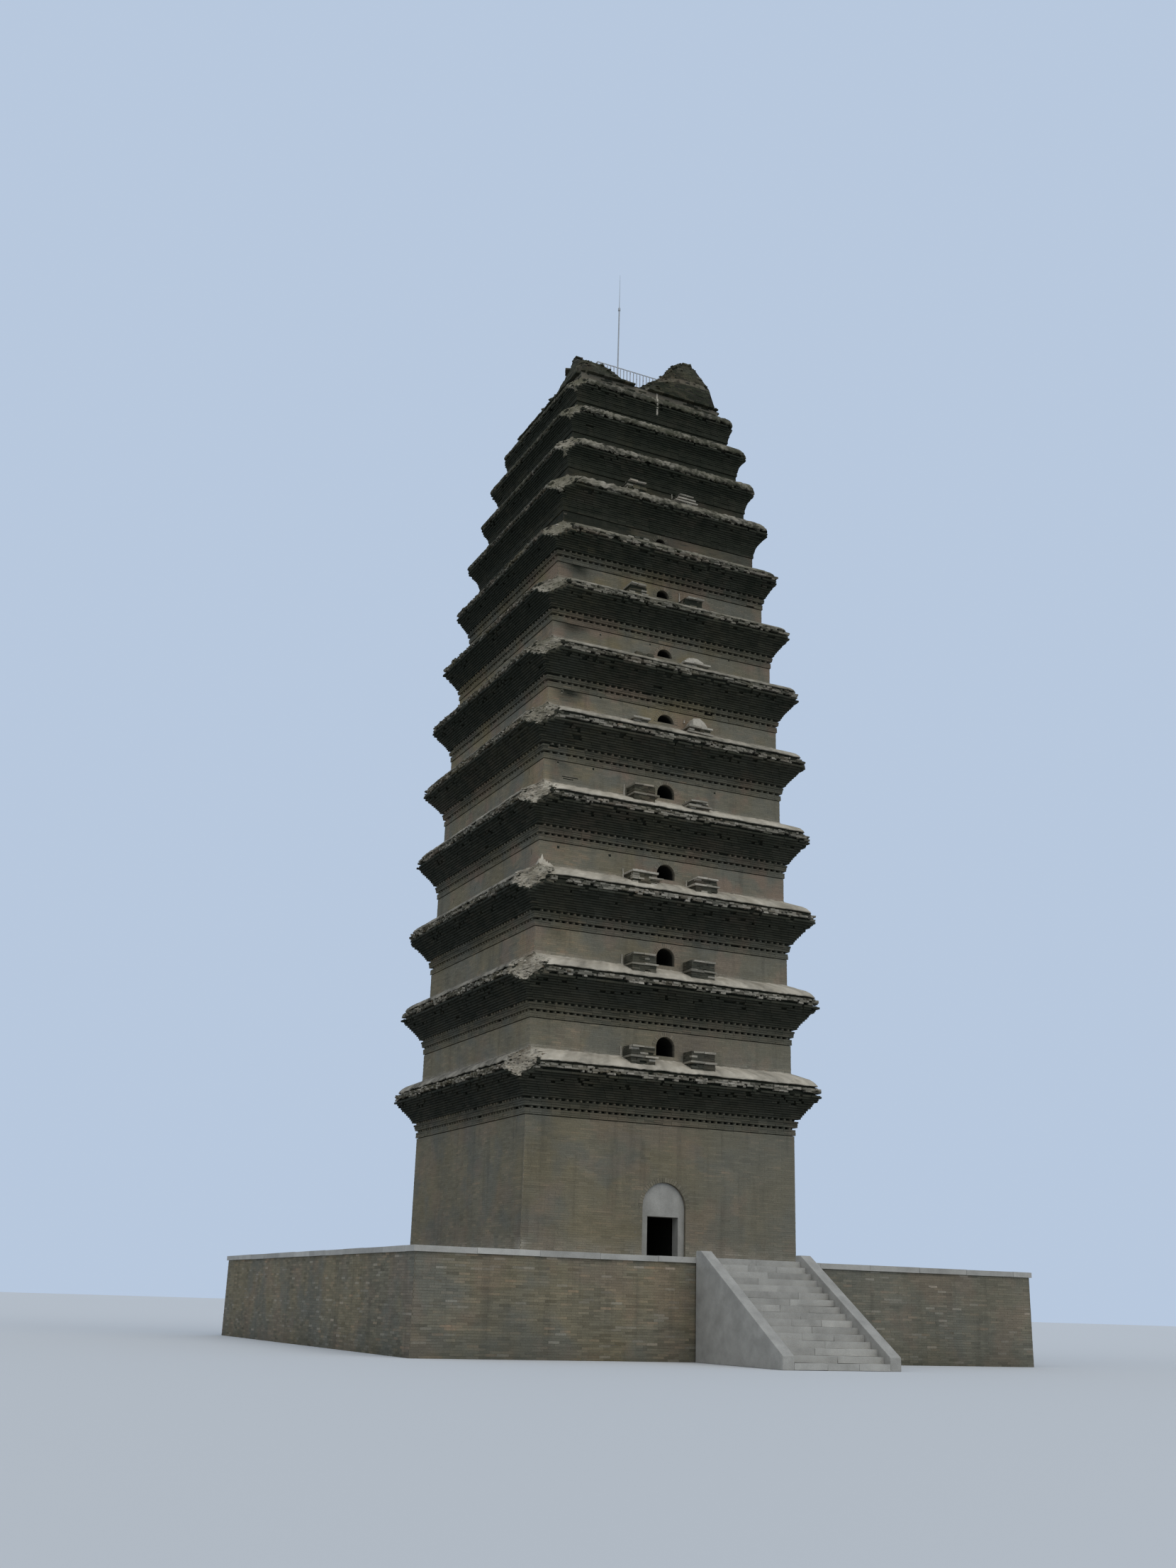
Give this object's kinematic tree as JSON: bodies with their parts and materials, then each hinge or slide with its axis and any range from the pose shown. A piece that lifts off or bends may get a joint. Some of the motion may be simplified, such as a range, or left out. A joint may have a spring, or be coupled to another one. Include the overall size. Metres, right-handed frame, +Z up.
{
  "type": "brick pagoda, 1:2 scale model",
  "caption": "Square brick pagoda with close-set corbelled eaves, a hollow shaft with arched windows, a stone-edged plinth with steps, and a broken top with a railing and a lightning rod",
  "frame": {"origin": "on the ground, under the middle of the plinth", "axes": "+Z up; the front, with the windows and the door that the picture's right-hand face has, looks along -Y; +X is to the right for someone who faces the front"},
  "size_m": [11.77, 16.8906, 24.6656],
  "materials": {
    "grey_brick": "matte",
    "pale_stone": "matte",
    "old_timber": "matte",
    "grey_metal": "satin"
  },
  "bodies": {
    "root": {"plinth": "grey_brick", "plinth_coping": "pale_stone", "front_steps": "pale_stone", "front_steps_left_kerb": "pale_stone", "front_steps_right_kerb": "pale_stone", "back_steps": "pale_stone", "back_steps_left_kerb": "pale_stone", "back_steps_right_kerb": "pale_stone", "front_door_frame": "pale_stone", "back_door_frame": "pale_stone", "storey_1_front_wall": "grey_brick", "storey_1_back_wall": "grey_brick", "storey_1_left_wall": "grey_brick", "storey_1_right_wall": "grey_brick", "storey_1_eave": "grey_brick", "storey_2_wall": "grey_brick", "storey_2_eave": "grey_brick", "storey_2_floor": "old_timber", "storey_3_wall": "grey_brick", "storey_3_eave": "grey_brick", "storey_3_floor": "old_timber", "storey_4_wall": "grey_brick", "storey_4_eave": "grey_brick", "storey_4_floor": "old_timber", "storey_5_wall": "grey_brick", "storey_5_eave": "grey_brick", "storey_5_floor": "old_timber", "storey_6_wall": "grey_brick", "storey_6_eave": "grey_brick", "storey_6_floor": "old_timber", "storey_7_wall": "grey_brick", "storey_7_eave": "grey_brick", "storey_7_floor": "old_timber", "storey_8_wall": "grey_brick", "storey_8_eave": "grey_brick", "storey_8_floor": "old_timber", "storey_9_wall": "grey_brick", "storey_9_eave": "grey_brick", "storey_9_floor": "old_timber", "storey_10_wall": "grey_brick", "storey_10_eave": "grey_brick", "storey_11_wall": "grey_brick", "storey_11_eave": "grey_brick", "storey_12_wall": "grey_brick", "storey_12_eave": "grey_brick", "storey_13_wall": "grey_brick", "summit_left_mass": "grey_brick", "summit_right_mass": "grey_brick", "roof_slab": "pale_stone", "front_railing": "grey_metal", "back_railing": "grey_metal", "left_railing": "grey_metal", "right_railing": "grey_metal", "lightning_rod": "grey_metal"}
  },
  "joints": []
}
